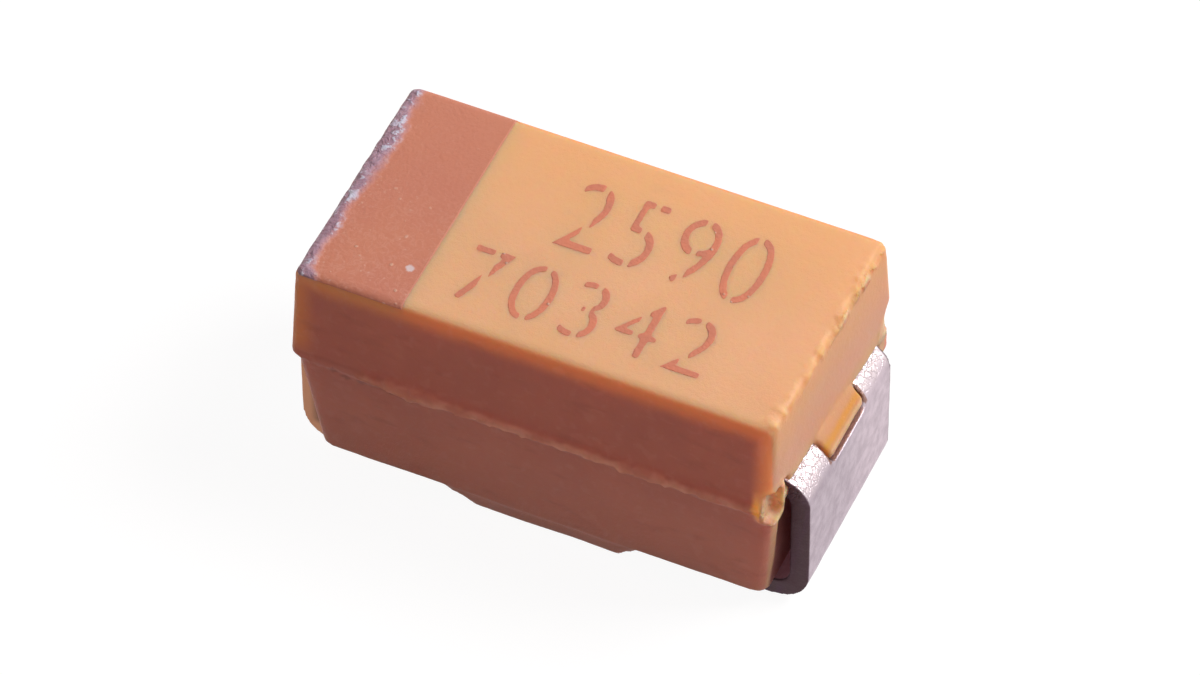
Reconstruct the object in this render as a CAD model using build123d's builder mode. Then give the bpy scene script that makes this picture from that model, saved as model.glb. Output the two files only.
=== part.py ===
"""Moulded surface-mount tantalum capacitor, EIA case 3216-18, in millimetres.

The origin is on the solder plane, midway between the two feet. +X points to the cathode
end, +Z points up from the board. The left-hand (-X) end is the anode, marked by the band.
"""

import os
from math import radians, sqrt, tan

from build123d import *

os.makedirs("parts", exist_ok=True)

# ---- Lead frame: one strip thickness, bent at a shoulder and a heel ----
overall_length = 3.2  # over the outer faces of the two terminals
strip_thickness = 0.12
terminal_width = 1.18
foot_length = 0.80  # from the outer face to the end of the foot
strip_level = 0.905  # underside of the strip where it lies in the case
shoulder_radius = 0.20  # outside of the bend where the strip leaves the case
heel_radius = 0.22  # outside of the bend at the board
window_width = 0.50  # relief window punched through the strip at the shoulder
window_floor = 0.855  # height of the window's lower edge on the outer face
window_corner = 0.07
window_anchor = 0.17  # how far the window runs into the case, filled with resin
crossbar_length = 0.16  # full-width bar inside the window
paddle_width = 0.84  # cathode strip under the pellet
paddle_overlap = 1.15  # how far the paddle runs back under the pellet
riser_bend = 0.05  # inside radius of the cathode's two inner bends
weld_tab_width = 0.56  # anode strip under which the riser wire is welded

# ---- Anode pellet and the coats that it is dipped in ----
pellet_length = 1.66
pellet_width = 0.96
pellet_height = 0.72
pellet_chamfer = 0.05
dioxide_coat = 0.03
graphite_thickness = 0.02
silver_thickness = 0.03
adhesive_thickness = 0.03
adhesive_inset = 0.03  # the adhesive stops this far inside the paddle's edges
adhesive_climb = 0.60  # how far the adhesive wets the pellet's end, above the paddle
wire_diameter = 0.22
wire_embedded = 0.60  # length of riser wire pressed into the pellet
wire_tail = 0.03  # wire left beyond the weld tab's full width
weld_flat = 0.015  # depth of the flat squashed on the wire at the weld
washer_diameter = 0.62
washer_thickness = 0.06
tab_clearance = 0.10  # from the washer to the end of the weld tab

# ---- Moulded case: two halves meeting within the thickness of the strip ----
case_width = 1.64
case_height = 1.65
case_inset = 0.0925  # parting line of the upper half, inside the terminals' outer faces
case_shift = -0.0275  # the upper half sits a little toward the anode
parting_rise = 0.04  # parting line above the strip's underside
upper_draft = 2.7
edge_radius = 0.03  # upper half's corners and top edges
lower_set_back = 0.02  # lower half's ends, inside the upper half's
lower_side_step = 0.01  # lower half's sides, inside the upper half's
lower_draft = 5.5
lower_corner_radius = 0.08
lower_edge_radius = 0.015
foot_clearance = 0.02  # between the foot and the case's underside
channel_side_gap = 0.09  # each side of the terminal in the end channel
channel_depth_gap = 0.055  # behind the terminal in the end channel
base_pad_length = 1.24  # where the pad leaves the underside
base_pad_shift = -0.03  # its middle, toward the anode
base_pad_anode_flare = 0.22  # slope of the pad's anode end
base_pad_cathode_flare = 0.13  # slope of its cathode end
base_pad_clearance = 0.015  # pad bottom above the solder plane
base_pad_step = 0.005  # pad's sides inside the case's
base_pad_draft = 0.02  # slope of the pad's two sides
base_pad_radius = 0.03
tab_reach = 0.02  # resin tab's outer edge, inside the terminal's outer face
tab_side_gap = 0.01
tab_radius = 0.035
tab_bevel = 0.08  # slope of the tab's outer edge, down to the window
flash_reach = 0.02  # resin ridge along the parting line of the long sides
flash_height = 0.035
lump_length = 0.13  # flash left at the corners beside the cathode strip, along the side
lump_depth = 0.17  # and across the end
lump_reach = 0.012
lump_radius = 0.035
front_lump_height = 0.27
front_lump_rise = 0.055  # its middle, above the parting line
back_lump_height = 0.18
back_lump_rise = -0.115
groove_radius = 0.055  # upright groove down each lump's corner
scallop_radius = 0.08  # hollow above each lump, in the vertical edge
scallop_offset = 0.03  # its centre, outside the lump's corner
scallop_rise = 0.05  # its centre, above the lump
band_length = 0.66  # polarity band, from the top's anode edge
band_thickness = 0.02

# ---- Worked out from the sizes above ----
outer_face = overall_length / 2
inner_face = outer_face - strip_thickness
strip_middle = strip_level + strip_thickness / 2
strip_top = strip_level + strip_thickness
wire_level = strip_level - wire_diameter / 2 + weld_flat

parting_level = strip_level + parting_rise
case_length = overall_length - 2 * case_inset
upper_height = case_height - parting_level
top_length = case_length - 2 * upper_height * tan(radians(upper_draft))
top_width = case_width - 2 * upper_height * tan(radians(upper_draft))
lower_length = case_length - 2 * lower_set_back
lower_width = case_width - 2 * lower_side_step
underside = strip_thickness + foot_clearance
lower_depth = parting_level - underside
underside_width = lower_width - 2 * lower_depth * tan(radians(lower_draft))
tab_tip = outer_face - tab_reach
pad_width = underside_width - 2 * base_pad_step
pad_foot_length = base_pad_length - base_pad_anode_flare - base_pad_cathode_flare
pad_foot_middle = base_pad_shift + (base_pad_anode_flare - base_pad_cathode_flare) / 2

coats = dioxide_coat + graphite_thickness + silver_thickness
window_root = case_length / 2 - window_anchor
crossbar_inner = window_root - crossbar_length
riser_inside = crossbar_inner - riser_bend - strip_thickness
pellet_end = riser_inside - adhesive_thickness - coats
wire_face = pellet_end - pellet_length
paddle_top = wire_level - pellet_height / 2 - coats - adhesive_thickness
weld_tab_end = wire_face - washer_thickness - tab_clearance
wire_end = -crossbar_inner - wire_tail


# ---- Terminals ----
def relief_window(side):
    """The window's opening, seen along X, cut from its root to beyond the outer face."""
    with BuildPart() as opening:
        with BuildSketch(Plane.YZ.offset(side * window_root)) as face:
            with Locations((0, (window_floor + case_height) / 2)):
                Rectangle(window_width, case_height - window_floor)
            fillet(face.vertices().group_by(Axis.Y)[0], window_corner)
        extrude(amount=side * outer_face)
    return opening.part


def strip_waste(width):
    """What is cut from both edges of a strip inside its crossbar, above the foot."""
    with BuildPart() as waste:
        with BuildSketch(Plane.XY.offset(underside)):
            for edge in (-1, 1):
                with Locations((0, edge * (width + terminal_width) / 2)):
                    Rectangle(2 * crossbar_inner, terminal_width)
        extrude(amount=case_height)
    return waste.part


heel_middle = heel_radius - strip_thickness / 2
shoulder_middle = shoulder_radius - strip_thickness / 2
riser_middle = riser_bend + strip_thickness / 2
foot_stations = [
    (outer_face - foot_length, strip_thickness / 2),
    (outer_face - strip_thickness / 2, strip_thickness / 2),
    (outer_face - strip_thickness / 2, strip_middle),
]
cathode_window = relief_window(1)
paddle_waste = strip_waste(paddle_width)
with BuildPart() as cathode_terminal:
    with BuildLine(Plane.XZ) as middle:
        FilletPolyline(
            *foot_stations,
            (riser_inside + strip_thickness / 2, strip_middle),
            (riser_inside + strip_thickness / 2, paddle_top - strip_thickness / 2),
            (pellet_end - paddle_overlap, paddle_top - strip_thickness / 2),
            radius=[heel_middle, shoulder_middle, riser_middle, riser_middle],
        )
    with BuildSketch(middle.line ^ 0):
        Rectangle(strip_thickness, terminal_width)
    sweep()
    add(cathode_window, mode=Mode.SUBTRACT)
    add(paddle_waste, mode=Mode.SUBTRACT)
cathode_terminal.part.label = "cathode_terminal"

anode_window = relief_window(-1)
weld_tab_waste = strip_waste(weld_tab_width)
with BuildPart() as anode_terminal:
    with BuildLine(Plane.XZ) as middle:
        FilletPolyline(
            *[(-x, z) for x, z in foot_stations],
            (weld_tab_end, strip_middle),
            radius=[heel_middle, shoulder_middle],
        )
    with BuildSketch(middle.line ^ 0):
        Rectangle(strip_thickness, terminal_width)
    sweep()
    add(anode_window, mode=Mode.SUBTRACT)
    add(weld_tab_waste, mode=Mode.SUBTRACT)
anode_terminal.part.label = "anode_terminal"


# ---- Riser wire, flattened where it is welded under the tab ----
with BuildPart() as riser_wire:
    with BuildSketch(Plane.YZ.offset(wire_end)):
        with Locations((0, wire_level)):
            Circle(wire_diameter / 2)
    extrude(amount=wire_face + wire_embedded - wire_end)
    with BuildSketch(Plane.XY.offset(strip_level)):
        with Locations(((wire_end + weld_tab_end) / 2, 0)):
            Rectangle(weld_tab_end - wire_end, wire_diameter)
    extrude(amount=wire_diameter, mode=Mode.SUBTRACT)
riser_wire.part.label = "riser_wire"


# ---- Pellet and its coats ----
def dipped_block(growth):
    """The pellet grown by a coat on every side but the one that the wire leaves."""
    bevel = pellet_chamfer + growth * (2 - sqrt(2))
    with BuildPart() as block:
        with BuildSketch(Plane.YZ.offset(wire_face)):
            with Locations((0, wire_level)):
                Rectangle(pellet_width + 2 * growth, pellet_height + 2 * growth)
        extrude(amount=pellet_length + growth)
        far_end = block.faces().sort_by(Axis.X)[-1]
        chamfer(block.edges().filter_by(Axis.X) + far_end.edges(), bevel)
    return block.part


bare_block = dipped_block(0)
dioxide_block = dipped_block(dioxide_coat)
graphite_block = dipped_block(dioxide_coat + graphite_thickness)
coated_block = dipped_block(coats)

with BuildPart() as tantalum_pellet:
    add(bare_block)
    add(riser_wire.part, mode=Mode.SUBTRACT)
tantalum_pellet.part.label = "tantalum_pellet"

with BuildPart() as manganese_dioxide_coat:
    add(dioxide_block)
    add(bare_block, mode=Mode.SUBTRACT)
manganese_dioxide_coat.part.label = "manganese_dioxide_coat"

with BuildPart() as graphite_coat:
    add(graphite_block)
    add(dioxide_block, mode=Mode.SUBTRACT)
graphite_coat.part.label = "graphite_coat"

with BuildPart() as silver_coat:
    add(coated_block)
    add(graphite_block, mode=Mode.SUBTRACT)
silver_coat.part.label = "silver_coat"

with BuildPart() as insulating_washer:
    with BuildSketch(Plane.YZ.offset(wire_face - washer_thickness)):
        with Locations((0, wire_level)):
            Circle(washer_diameter / 2)
            Circle(wire_diameter / 2, mode=Mode.SUBTRACT)
    extrude(amount=washer_thickness)
insulating_washer.part.label = "insulating_washer"

# The adhesive lies on the paddle and climbs the pellet's end against the riser.
with BuildPart() as conductive_adhesive:
    adhesive_start = pellet_end - paddle_overlap + adhesive_inset
    with BuildSketch(Plane.XY.offset(paddle_top)):
        with Locations(((adhesive_start + riser_inside) / 2, 0)):
            Rectangle(riser_inside - adhesive_start, paddle_width - 2 * adhesive_inset)
    extrude(amount=adhesive_climb)
    add(coated_block, mode=Mode.SUBTRACT)
    add(cathode_terminal.part, mode=Mode.SUBTRACT)
conductive_adhesive.part.label = "conductive_adhesive"


# ---- Polarity band, printed flush with the top at the anode end ----
band_start = case_shift - top_length / 2 + edge_radius
band_end = case_shift - top_length / 2 + band_length
with BuildPart() as polarity_band:
    with BuildSketch(Plane.XY.offset(case_height - band_thickness)):
        with Locations(((band_start + band_end) / 2, 0)):
            Rectangle(band_end - band_start, top_width - 2 * edge_radius)
    extrude(amount=band_thickness)
polarity_band.part.label = "polarity_band"


# ---- Moulded case ----
lump_tip = case_shift + case_length / 2 + lump_reach
lump_side = case_width / 2 + lump_reach
flash_lumps = [
    (-1, front_lump_height, parting_level + front_lump_rise),
    (1, back_lump_height, parting_level + back_lump_rise),
]


def flash_lump(side, height, level):
    """Rounded lump of flash round one corner of the cathode end, with a groove down it."""
    with BuildPart() as lump:
        with BuildSketch(Plane.XY.offset(level - height / 2)):
            with Locations((lump_tip - lump_length / 2, side * (lump_side - lump_depth / 2))):
                Rectangle(lump_length, lump_depth)
        extrude(amount=height)
        fillet(lump.edges(), lump_radius)
        with BuildSketch(Plane.XY.offset(level - height / 2 + lump_radius)):
            with Locations((lump_tip, side * lump_side)):
                Circle(groove_radius)
        extrude(amount=height, mode=Mode.SUBTRACT)
    return lump.part


# Bar through both windows, its outer ends sloping down and outward.
with BuildPart() as window_tabs:
    with BuildSketch(Plane.XZ):
        with BuildLine():
            Polyline(
                (tab_tip, strip_level),
                (tab_tip, strip_level + strip_thickness / 3),
                (tab_tip - tab_bevel, strip_level + strip_thickness),
                (tab_bevel - tab_tip, strip_level + strip_thickness),
                (-tab_tip, strip_level + strip_thickness / 3),
                (-tab_tip, strip_level),
                close=True,
            )
        make_face()
    extrude(amount=window_width / 2 - tab_side_gap, both=True)
    fillet(window_tabs.edges().filter_by(Axis.Z), tab_radius)

with BuildPart() as moulded_case:
    # Lower half, drawn down to the underside.
    with BuildSketch(Plane(origin=(case_shift / 2, 0, parting_level), z_dir=(0, 0, -1))):
        Rectangle(lower_length, lower_width)
    extrude(amount=lower_depth, taper=lower_draft)
    underside_rim, lower_uprights = moulded_case.edges().group_by(Axis.Z)[:2]
    fillet(lower_uprights, lower_corner_radius)
    fillet(moulded_case.faces().sort_by(Axis.Z)[0].edges(), lower_edge_radius)
    # Pad that stands between the feet, almost on the board.
    with BuildSketch(Plane(origin=(base_pad_shift, 0, underside + lower_edge_radius))):
        Rectangle(base_pad_length, pad_width)
    extrude(amount=-lower_edge_radius)
    with BuildSketch(Plane(origin=(base_pad_shift, 0, underside))):
        Rectangle(base_pad_length, pad_width)
    with BuildSketch(Plane(origin=(pad_foot_middle, 0, base_pad_clearance))):
        Rectangle(pad_foot_length, pad_width - 2 * base_pad_draft)
    loft()
    pad_face = moulded_case.faces().sort_by(Axis.Z)[0]
    fillet(pad_face.edges(), base_pad_radius)
    # Upper half, drawn up to the top.
    with BuildSketch(Plane(origin=(case_shift, 0, parting_level))):
        Rectangle(case_length, case_width)
    extrude(amount=upper_height, taper=upper_draft)
    uprights, rim = moulded_case.edges().group_by(Axis.Z)[-2:]
    fillet(uprights + rim, edge_radius)
    # Flash ridge along the long sides of the parting line.
    with BuildSketch(Plane(origin=(case_shift, 0, parting_level - flash_height / 2))):
        Rectangle(lower_length - 2 * lump_length, case_width + 2 * flash_reach)
    extrude(amount=flash_height)
    # Flash lumps and hollows at the two corners beside the cathode strip.
    for side, height, level in flash_lumps:
        add(flash_lump(side, height, level))
        hollow = (
            lump_tip + scallop_offset,
            side * (lump_side + scallop_offset),
            level + height / 2 + scallop_rise,
        )
        with Locations(hollow):
            Sphere(scallop_radius, mode=Mode.SUBTRACT)
    # Resin tabs that fill the windows of both strips.
    add(window_tabs.part)
    # Channels that the terminals come down in.
    with BuildSketch(Plane.XY.offset(strip_level)):
        for end in (-1, 1):
            with Locations((end * (inner_face - channel_depth_gap + strip_thickness), 0)):
                Rectangle(2 * strip_thickness, terminal_width + 2 * channel_side_gap)
    extrude(amount=-strip_level, mode=Mode.SUBTRACT)
    # Room for everything that is moulded in, and for the band.
    for inner in (anode_terminal, cathode_terminal, riser_wire, insulating_washer):
        add(inner.part, mode=Mode.SUBTRACT)
    add(coated_block, mode=Mode.SUBTRACT)
    add(conductive_adhesive.part, mode=Mode.SUBTRACT)
    add(polarity_band.part, mode=Mode.SUBTRACT)
moulded_case.part.label = "moulded_case"

for piece in (
    moulded_case,
    polarity_band,
    anode_terminal,
    cathode_terminal,
    tantalum_pellet,
    riser_wire,
    insulating_washer,
    manganese_dioxide_coat,
    graphite_coat,
    silver_coat,
    conductive_adhesive,
):
    export_step(piece.part, f"parts/{piece.part.label}.step")
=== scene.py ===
"""Dresses the moulded tantalum capacitor: worn resin moulding, tinned terminals, printed marks.

Laid out as an add-on. Property groups hold the sizes and colours, each group of like pieces
has its operator, and main() calls the operators in order. Pieces are modelled in millimetres
about the frame's origin and are brought to metres when they are finished.
"""

from contextlib import contextmanager
from math import pi, radians, tan
from random import Random
from types import SimpleNamespace

import bmesh
import bpy
from bpy.props import (
    FloatProperty,
    FloatVectorProperty,
    IntProperty,
    PointerProperty,
    StringProperty,
)
from mathutils import Euler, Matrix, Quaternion, Vector


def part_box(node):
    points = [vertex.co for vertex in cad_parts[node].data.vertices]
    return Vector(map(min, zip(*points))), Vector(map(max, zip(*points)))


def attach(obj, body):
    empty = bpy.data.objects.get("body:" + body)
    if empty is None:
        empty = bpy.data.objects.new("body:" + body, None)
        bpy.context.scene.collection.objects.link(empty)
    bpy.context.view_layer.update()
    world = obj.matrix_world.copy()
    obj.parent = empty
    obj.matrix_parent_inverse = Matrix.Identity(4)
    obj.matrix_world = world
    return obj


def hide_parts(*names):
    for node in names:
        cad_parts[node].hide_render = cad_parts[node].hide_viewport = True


bl_info = {
    "name": "Tantalum capacitor dressing",
    "version": (1, 0, 0),
    "blender": (4, 5, 0),
    "location": "3D View > Sidebar > Capacitor",
    "description": "Models and finishes a moulded surface-mount tantalum capacitor",
    "category": "Object",
}

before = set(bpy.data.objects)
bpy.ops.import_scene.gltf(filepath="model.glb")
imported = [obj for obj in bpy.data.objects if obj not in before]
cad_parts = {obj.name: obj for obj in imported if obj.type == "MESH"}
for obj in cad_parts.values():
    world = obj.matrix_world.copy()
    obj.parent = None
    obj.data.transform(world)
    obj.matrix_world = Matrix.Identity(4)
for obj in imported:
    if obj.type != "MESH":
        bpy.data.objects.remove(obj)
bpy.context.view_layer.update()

MM = 0.001
TINY = 0.0005  # a margin for choosing faces and edges by place, in millimetres
STRIP = 0.12  # lead frame's thickness, in millimetres
FLASH_REACH = 0.012  # how far the flash stands out from the walls, in millimetres
CORNER_ROUND = 0.035  # rounding of the flash lumps and of the tabs, in millimetres
BLACK, WHITE = (0, 0, 0), (1, 1, 1)


# ---- Sizes taken from the frame, in millimetres ----
def box_in_mm(node):
    """Lowest and highest corner of a CAD node, in millimetres."""
    low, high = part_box(node)
    return low / MM, high / MM


CASE_LOW, CASE_HIGH = box_in_mm("moulded_case")
BAND_LOW, BAND_HIGH = box_in_mm("polarity_band")
CATHODE_LOW, CATHODE_HIGH = box_in_mm("cathode_terminal")
_, ANODE_HIGH = box_in_mm("anode_terminal")
GLUE_LOW, GLUE_HIGH = box_in_mm("conductive_adhesive")


# ---- Property groups ----
def length(name, millimetres, description):
    """A size property. Its default is given in millimetres and kept in metres."""
    return FloatProperty(
        name=name,
        description=description,
        default=millimetres * MM,
        unit="LENGTH",
        precision=6,
    )


def colour(name, code, description):
    """A colour property. Its default is a hexadecimal display colour, kept as linear light."""
    levels = [int(code[place : place + 2], 16) / 255 for place in (0, 2, 4)]
    linear = [
        level / 12.92 if level <= 0.04045 else ((level + 0.055) / 1.055) ** 2.4
        for level in levels
    ]
    return FloatVectorProperty(
        name=name,
        description=description,
        default=linear,
        subtype="COLOR",
        min=0,
        max=1,
    )


def millimetres(group):
    """The group's lengths in millimetres, and its other values as they are."""
    values = {}
    for name in group.bl_rna.properties.keys():
        if name in ("rna_type", "name"):
            continue
        values[name] = getattr(group, name)
        if group.bl_rna.properties[name].unit == "LENGTH":
            values[name] /= MM
    return SimpleNamespace(**values)


class CaseSizes(bpy.types.PropertyGroup):
    """Sizes of the moulded case."""

    parting: length("Parting level", 0.945, "Height at which the two mould halves meet")
    long: length("Length at the parting line", 3.015, "Upper half's length at its widest")
    wide: length("Width at the parting line", 1.64, "Upper half's width at its widest")
    shift: length("Upper half's offset", -0.0275, "Upper half's middle along X")
    upper_draft: FloatProperty(
        name="Upper draft",
        description="Slope of the upper half's walls",
        default=radians(2.7),
        subtype="ANGLE",
    )
    lower_draft: FloatProperty(
        name="Lower draft",
        description="Slope of the lower half's walls",
        default=radians(5.5),
        subtype="ANGLE",
    )
    end_step: length("End step", 0.02, "Lower half's ends inside the upper half's")
    side_step: length("Side step", 0.004, "Lower half's sides inside the upper half's")
    edge: length("Edge radius", 0.05, "Rounding of the upper half's top edges")
    upright: length("Upright edge radius", 0.055, "Rounding of the upper half's uprights")
    corner: length("Lower corner radius", 0.08, "Rounding of the lower half's uprights")
    parting_edge: length("Parting edge radius", 0.03, "Rounding of the upper half's lowest edges")
    lower_edge: length("Lower edge radius", 0.015, "Rounding of the underside's edges")
    underside: length("Underside", 0.14, "Height of the case's underside over the feet")
    pad_long: length("Base pad length", 0.89, "Length of the pad's flat, close to the board")
    pad_middle: length("Base pad middle", 0.015, "Middle of the pad's flat along X")
    pad_anode: length("Pad slope at the anode", 0.22, "How far that end slopes in")
    pad_cathode: length("Pad slope at the cathode", 0.13, "How far that end slopes in")
    pad_step: length("Base pad step", 0.002, "Pad's sides inside the case's underside")
    pad_side: length("Base pad side slope", 0.02, "How far the pad's sides slope in")
    pad_edge: length("Base pad edge", 0.03, "Rounding round the pad's flat")
    ridge: length("Flash ridge", 0.05, "Height of the flash along the parting line")
    lump: length("Flash lump", 0.13, "Length of the flash lumps along the sides")
    lump_deep: length("Flash lump depth", 0.17, "Length of the flash lumps along the end")
    front_lump_tall: length("Front lump height", 0.27, "Height of the front lump")
    front_lump_rise: length("Front lump rise", 0.055, "Its middle above the parting level")
    back_lump_tall: length("Back lump height", 0.20, "Height of the back lump")
    back_lump_rise: length("Back lump rise", -0.125, "Its middle above the parting level")
    notch_long: length("Notch length", 0.082, "Depth of the broken notch from the end")
    notch_deep: length("Notch depth", 0.13, "Depth of the broken notch from the side")
    channel_side: length("Channel gap", 0.09, "Gap on each side of the terminal")
    channel_depth: length("Channel depth", 0.055, "Gap behind the terminal")
    channel_top: length("Channel top", 0.905, "Where the gap round the terminal ends")
    tab_bevel: length("Tab bevel", 0.08, "Slope of the resin tab's outer edge")
    tab_reach: length("Tab reach", 0.02, "Resin tab's edge inside the terminal's face")
    window: length("Window width", 0.50, "Width of the relief window in the terminal")
    voxel: length("Voxel", 0.0172, "Cell of the remesh that fuses the moulding")
    wear: length("Edge wear", 0.02, "Depth of the chips along the band's outer edge")
    crumble: length("Crumbled edge", 0.024, "Depth of the crumbling along the far top edge")
    seam_wear: length("Seam wear", 0.03, "Unevenness of the flash ridge")


class TerminalSizes(bpy.types.PropertyGroup):
    """Sizes of the formed terminals."""

    strip: length("Strip thickness", STRIP, "Thickness of the lead frame")
    foot: length("Foot length", 0.80, "From the outer face to the end of the foot")
    heel: length("Heel radius", 0.22, "Outside radius of the bend at the board")
    shoulder: length("Shoulder radius", 0.20, "Outside radius of the bend at the case")
    window_floor: length("Window floor", 0.855, "Height of the window's lower edge")
    window_corner: length("Window corner", 0.07, "Radius of the window's lower corners")
    window_anchor: length("Window anchor", 0.17, "How far the window runs into the case")
    crossbar: length("Crossbar", 0.16, "Full-width bar inside the window")
    paddle: length("Paddle width", 0.84, "Cathode strip under the pellet")
    weld_tab: length("Weld tab width", 0.56, "Anode strip over the riser wire")
    riser_bend: length("Riser bend", 0.05, "Inside radius of the two inner bends")
    voxel: length("Voxel", 0.012, "Cell of the remesh that rounds the stamped edges")
    crinkle: length("Crinkle", 0.006, "Depth of the plating's crinkle over the shoulder")
    bend_steps: IntProperty(
        name="Bend steps",
        description="Segments in each bend of the strip",
        default=10,
        min=4,
    )


class MarkSizes(bpy.types.PropertyGroup):
    """Sizes and words of the printed marks."""

    upper_row: StringProperty(
        name="Upper row", description="Plain digits of the upper row", default="2590"
    )
    lower_row: StringProperty(
        name="Lower row", description="Plain digits of the lower row", default="70342"
    )
    upper_tall: length("Upper digits", 0.53, "Height of the upper row's digits")
    lower_tall: length("Lower digits", 0.43, "Height of the lower row's digits")
    upper_left: length("Upper start", -0.27, "Left end of the upper row")
    lower_left: length("Lower start", -0.64, "Left end of the lower row")
    upper_right: length("Upper end", 0.95, "Right end of the upper row")
    lower_right: length("Lower end", 0.90, "Right end of the lower row")
    upper_base: length("Upper baseline", 0.0, "Baseline of the upper row across the case")
    lower_base: length("Lower baseline", -0.60, "Baseline of the lower row across the case")
    bridge: length("Stencil bridge", 0.035, "Width of the breaks in the digits' strokes")
    film: length("Ink film", 0.0018, "Thickness of the ink over the resin")
    voxel: length("Voxel", 0.008, "Cell of the remesh that rounds the strokes' ends")


class FinishColours(bpy.types.PropertyGroup):
    """Colours of the visible finishes."""

    resin: colour("Resin", "EDB88A", "Moulded epoxy on the top")
    # Pale resin is also the painted highlight along the tabs' outer edge.
    resin_pale: colour("Pale resin", "F1BB90", "Paler clouds in the epoxy")
    resin_back: colour("Resin at the back", "F7BC82", "Moulded epoxy toward the back")
    # Painted shade: the two wall tones below are shaded copies of the epoxy, darker and redder
    # than the top because the walls stand in shade. The second holds their darker clouds.
    shaded_resin_side: colour("Resin in the sides", "EB9177", "Epoxy on the long drafted walls")
    resin_side_deep: colour("Deep resin", "E28B74", "Darker clouds in the long walls")
    # Painted glow: orange standing for light scattered through the resin near the walls' lit
    # edges.
    resin_glow: colour("Glowing resin", "FFA060", "Long walls close to their lit edges")
    resin_end: colour("Resin in the ends", "E1A486", "Epoxy on the drafted end walls")
    resin_end_top: colour("Upper ends", "E9AC78", "Epoxy high on the end walls")
    flash: colour("Flash", "FFAE90", "Crumbly flash along the parting line")
    resin_olive: colour("Olive crumbs", "C98F3E", "Pits along the far top edge")
    # Painted glow: amber standing for light that passes through thin flash.
    resin_amber: colour("Amber resin", "FFB050", "Thin, glowing flash")
    resin_tab: colour("Tab resin", "CD9670", "Tabs in the terminals' windows")
    resin_gilt: colour("Golden resin", "DC9A42", "Golden streak along each tab")
    resin_dust: colour("Broken resin", "F3CDA2", "Crumbled and powdery resin")
    ink: colour("Ink", "DD866E", "Polarity band")
    ink_pale: colour("Pale ink", "E18A6E", "Paler clouds in the band")
    digit_ink: colour("Digit ink", "F08B6C", "Printed digits")
    scuff: colour("Scuffed edge", "BF9DB4", "Rubbed strip along the band's outer edge")
    scuff_dark: colour("Dark scuffs", "93748F", "Deeper chips in the rubbed strip")
    # Painted highlight: the glint colour is painted near-white on glassy chips as glints.
    glint: colour("Glint", "E6DEEE", "Glassy chips and filler grains")
    plating: colour("Plating", "C4B7C0", "Tin plating on the terminals")
    # Stretched, crazed plating over the bends, painted brighter as a highlight too.
    plating_bright: colour("Bright plating", "E6D9DC", "Stretched plating over the bends")
    cut_metal: colour("Cut metal", "503A40", "Sheared edges of the strip")
    # Painted reflection: the anode's sheared edges are painted with the warm resin that they
    # reflect.
    cut_metal_warm: colour("Warm cut metal", "D39A76", "Anode strip's sheared edges")


class StageSettings(bpy.types.PropertyGroup):
    """Light and camera."""

    lens: FloatProperty(
        name="Lens", description="Focal length in millimetres", default=249.39
    )
    key: FloatProperty(
        name="Key light", description="Light of the key lamp on a facing surface", default=0.98
    )
    fill: FloatProperty(
        name="Fill light", description="Light of the fill lamp on a facing surface", default=0.06
    )
    ambient: FloatProperty(
        name="Ambient light", description="World's light on the object", default=0.20
    )


class DressingSettings(bpy.types.PropertyGroup):
    """All settings of the dressing."""

    case: PointerProperty(type=CaseSizes)
    terminals: PointerProperty(type=TerminalSizes)
    marks: PointerProperty(type=MarkSizes)
    colours: PointerProperty(type=FinishColours)
    stage: PointerProperty(type=StageSettings)


# ---- Shader maths ----
class Value:
    """A socket in a node tree. Arithmetic on it adds Math nodes."""

    def __init__(self, shading, socket):
        self.shading = shading
        self.socket = socket

    def maths(self, operation, *operands):
        return self.shading.node("Math", {"operation": operation}, dict(enumerate(operands)))

    def __add__(self, other):
        return self.maths("ADD", self, other)

    __radd__ = __add__

    def __sub__(self, other):
        return self.maths("SUBTRACT", self, other)

    def __rsub__(self, other):
        return self.maths("SUBTRACT", other, self)

    def __mul__(self, other):
        return self.maths("MULTIPLY", self, other)

    __rmul__ = __mul__

    def __abs__(self):
        return self.maths("ABSOLUTE", self)

    def most(self, other):
        return self.maths("MAXIMUM", self, other)

    def rising(self, start, end):
        """0 below start, 1 above end and smooth between. Falling where end is under start."""
        low, high = sorted((start, end))
        step = self.shading.node(
            "MapRange",
            {"interpolation_type": "SMOOTHSTEP"},
            {"Value": self, "From Min": low, "From Max": high},
        )
        return step if start < end else 1 - step

    def near(self, middle, reach):
        """1 at the middle, falling smoothly to 0 at that reach on both sides."""
        return abs(self - middle).rising(reach, 0)


class Shading:
    """A node tree being filled, and the shader that it feeds."""

    def __init__(self, tree, shader, constants):
        self.tree = tree
        self.shader = tree.nodes[shader]
        for socket, value in constants.items():
            self.shader.inputs[socket].default_value = value

    def node(self, kind, settings, sockets, output=0):
        """Adds a node: its settings first, then the values or links of its sockets."""
        added = self.tree.nodes.new("ShaderNode" + kind)
        for name, setting in settings.items():
            setattr(added, name, setting)
        for name, value in sockets.items():
            if isinstance(value, Value):
                self.tree.links.new(value.socket, added.inputs[name])
            else:
                added.inputs[name].default_value = value
        return Value(self, added.outputs[output])

    def ray(self, kind):
        """1 on rays of that kind and 0 on others."""
        return self.node("LightPath", {}, {}, f"Is {kind} Ray")

    def blend(self, amount, first, second):
        """From the first colour to the second as the amount goes from 0 to 1."""
        colours = {6: first, 7: second}
        for place, value in colours.items():
            if not isinstance(value, Value):
                colours[place] = (*value, 1)
        return self.node("Mix", {"data_type": "RGBA"}, {0: amount, **colours}, 2)

    def set(self, socket, value):
        """Links what varies over the surface to the shader."""
        self.tree.links.new(value.socket, self.shader.inputs[socket])


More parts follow.
